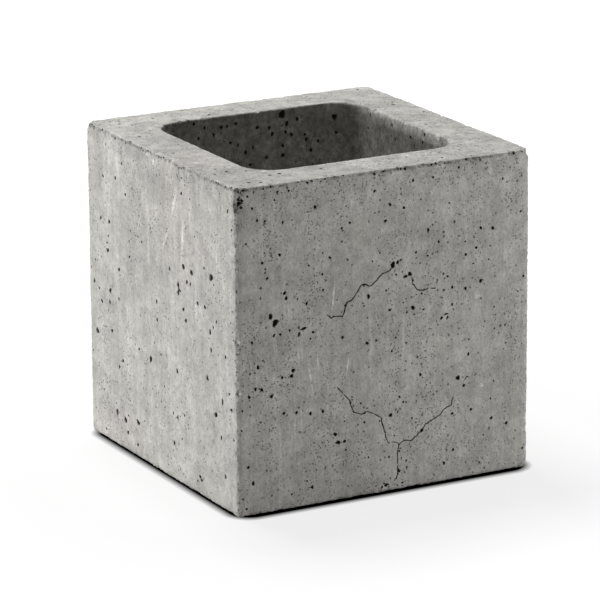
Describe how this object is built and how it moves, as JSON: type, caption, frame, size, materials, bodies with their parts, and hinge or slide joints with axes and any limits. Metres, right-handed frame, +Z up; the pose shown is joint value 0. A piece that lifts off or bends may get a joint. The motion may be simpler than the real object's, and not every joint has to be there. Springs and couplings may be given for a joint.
{
  "type": "load-bearing half block",
  "caption": "Square hollow concrete masonry half block with thick walls, a drafted rounded core through its height and eased edges, laid in mortar to end a course.",
  "frame": {"origin": "middle of the lower bed face, on the core's axis", "axes": "+Z up along the core, towards the upper bed face; X along the wall; Y across the wall, with the cracked face of the picture at -Y"},
  "size_m": [0.19, 0.19, 0.19],
  "materials": {
    "concrete": "matte, porous cast concrete"
  },
  "bodies": {
    "root": {"half_block": "concrete"}
  },
  "joints": []
}
